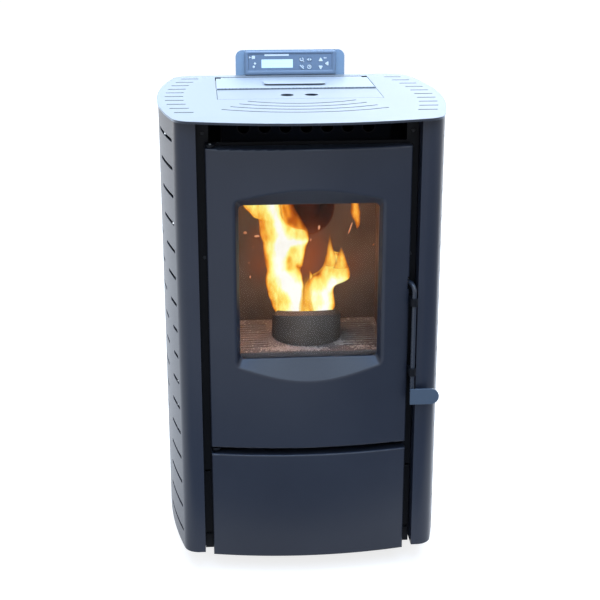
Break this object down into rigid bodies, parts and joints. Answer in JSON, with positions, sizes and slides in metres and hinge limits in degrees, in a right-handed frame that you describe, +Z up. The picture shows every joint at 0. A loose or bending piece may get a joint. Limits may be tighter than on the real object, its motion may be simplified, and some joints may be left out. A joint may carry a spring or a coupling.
{
  "type": "pellet stove",
  "caption": "Free-standing pellet stove: bowed slotted steel cabinet, glazed swing door, ash drawer below, hopper lid and service cover on top, controller at the rear edge.",
  "frame": {"origin": "on the floor, under the middle of the overall width and depth", "axes": "+Z up, +X to the right when facing the door, +Y to the rear"},
  "size_m": [0.52, 0.5959, 0.898],
  "materials": {
    "cabinet_paint": "satin",
    "black_paint": "matte",
    "steel": "satin",
    "fire_steel": "matte heat-proof",
    "cast_iron": "rough",
    "glass": "clear ceramic glass",
    "rope": "woven fibre",
    "motor_paint": "satin",
    "rubber": "matte",
    "controller_blue": "satin",
    "display": "lit",
    "pale_plastic": "satin",
    "black_plastic": "matte"
  },
  "bodies": {
    "cabinet": {"base_pan": "black_paint", "levelling_feet": "rubber", "left_side_panel": "cabinet_paint", "right_side_panel": "cabinet_paint", "top_plate": "cabinet_paint", "back_panel": "black_paint", "front_frame": "black_paint", "lid_hinge_ears": "black_paint", "cover_hinge_leaf": "black_paint", "hinge_brackets": "steel", "latch_catch": "steel", "drawer_runners": "steel", "firebox": "fire_steel", "floor_grate": "cast_iron", "ash_chute": "steel", "heat_exchanger_tubes": "fire_steel", "igniter": "steel", "hopper": "steel", "auger_tube": "steel", "auger_motor": "motor_paint", "pellet_chute": "fire_steel", "exhaust_blower_housing": "steel", "exhaust_blower_motor": "motor_paint", "flue_spigot": "steel", "air_intake_pipe": "steel", "room_blower_housing": "steel", "room_blower_motor": "motor_paint", "controller_bracket": "controller_blue", "controller_housing": "controller_blue", "controller_display": "display", "controller_lights": "pale_plastic", "control_box": "black_plastic", "power_inlet": "black_plastic", "cabinet_screws": "black_paint"},
    "door": {"door_panel": "cabinet_paint", "door_glass": "glass", "glass_gasket": "rope", "door_gasket": "rope", "glass_clips": "steel", "door_hinge_eyes": "steel", "handle_bushes": "black_paint"},
    "door_handle": {"handle_shaft": "black_paint", "handle_tab": "black_paint", "latch_hook": "steel"},
    "ash_drawer": {"drawer_front": "cabinet_paint", "ash_pan": "steel"},
    "hopper_lid_body": {"hopper_lid": "cabinet_paint", "lid_grip": "cabinet_paint"},
    "service_cover_body": {"service_cover": "cabinet_paint"},
    "burn_pot_body": {"burn_pot": "cast_iron"},
    "auger": {"auger_screw": "steel"},
    "exhaust_fan": {"exhaust_impeller": "steel"},
    "room_fan": {"room_fan_wheel": "steel"},
    "key_1_body": {"key_1": "controller_blue"},
    "key_2_body": {"key_2": "controller_blue"},
    "key_3_body": {"key_3": "controller_blue"},
    "key_4_body": {"key_4": "controller_blue"},
    "key_up_body": {"key_up": "pale_plastic"},
    "key_down_body": {"key_down": "pale_plastic"},
    "key_left_body": {"key_left": "pale_plastic"}
  },
  "joints": [
    {"name": "door_hinge", "type": "hinge", "parent": "cabinet", "child": "door", "pos_m": [-0.167, -0.23503, 0.52505], "axis": [0, 0, -1], "range_deg": [0, 100]},
    {"name": "handle_turn", "type": "hinge", "parent": "door", "child": "door_handle", "pos_m": [0.183, -0.256, 0.4445], "axis": [0, 0, -1], "range_deg": [0, 20]},
    {"name": "drawer_slide", "type": "slide", "parent": "cabinet", "child": "ash_drawer", "axis": [0, -1, 0], "range_m": [0, 0.25]},
    {"name": "lid_hinge", "type": "hinge", "parent": "cabinet", "child": "hopper_lid_body", "pos_m": [0, 0.2015, 0.841], "axis": [-1, 0, 0], "range_deg": [0, 95]},
    {"name": "cover_hinge", "type": "hinge", "parent": "cabinet", "child": "service_cover_body", "pos_m": [0, 0.055, 0.848], "axis": [-1, 0, 0], "range_deg": [0, 100]},
    {"name": "pot_lift", "type": "slide", "parent": "cabinet", "child": "burn_pot_body", "axis": [0, 0, 1], "range_m": [0, 0.08]},
    {"name": "auger_spin", "type": "hinge", "parent": "cabinet", "child": "auger", "pos_m": [0.014, 0.138, 0.335], "axis": [0, -0.3887, 0.9214], "continuous": true},
    {"name": "exhaust_fan_spin", "type": "hinge", "parent": "cabinet", "child": "exhaust_fan", "pos_m": [0.13, 0.075, 0.31], "axis": [1, 0, 0], "continuous": true},
    {"name": "room_fan_spin", "type": "hinge", "parent": "cabinet", "child": "room_fan", "pos_m": [-0.1, 0.145, 0.146], "axis": [0, 1, 0], "continuous": true},
    {"name": "key_1_press", "type": "slide", "parent": "cabinet", "child": "key_1_body", "axis": [0, 1, 0], "range_m": [0, 0.0007], "stiffness_N_per_m": 200},
    {"name": "key_2_press", "type": "slide", "parent": "cabinet", "child": "key_2_body", "axis": [0, 1, 0], "range_m": [0, 0.0007], "stiffness_N_per_m": 200},
    {"name": "key_3_press", "type": "slide", "parent": "cabinet", "child": "key_3_body", "axis": [0, 1, 0], "range_m": [0, 0.0007], "stiffness_N_per_m": 200},
    {"name": "key_4_press", "type": "slide", "parent": "cabinet", "child": "key_4_body", "axis": [0, 1, 0], "range_m": [0, 0.0007], "stiffness_N_per_m": 200},
    {"name": "key_up_press", "type": "slide", "parent": "cabinet", "child": "key_up_body", "axis": [0, 1, 0], "range_m": [0, 0.0007], "stiffness_N_per_m": 200},
    {"name": "key_down_press", "type": "slide", "parent": "cabinet", "child": "key_down_body", "axis": [0, 1, 0], "range_m": [0, 0.0007], "stiffness_N_per_m": 200},
    {"name": "key_left_press", "type": "slide", "parent": "cabinet", "child": "key_left_body", "axis": [0, 1, 0], "range_m": [0, 0.0007], "stiffness_N_per_m": 200}
  ]
}
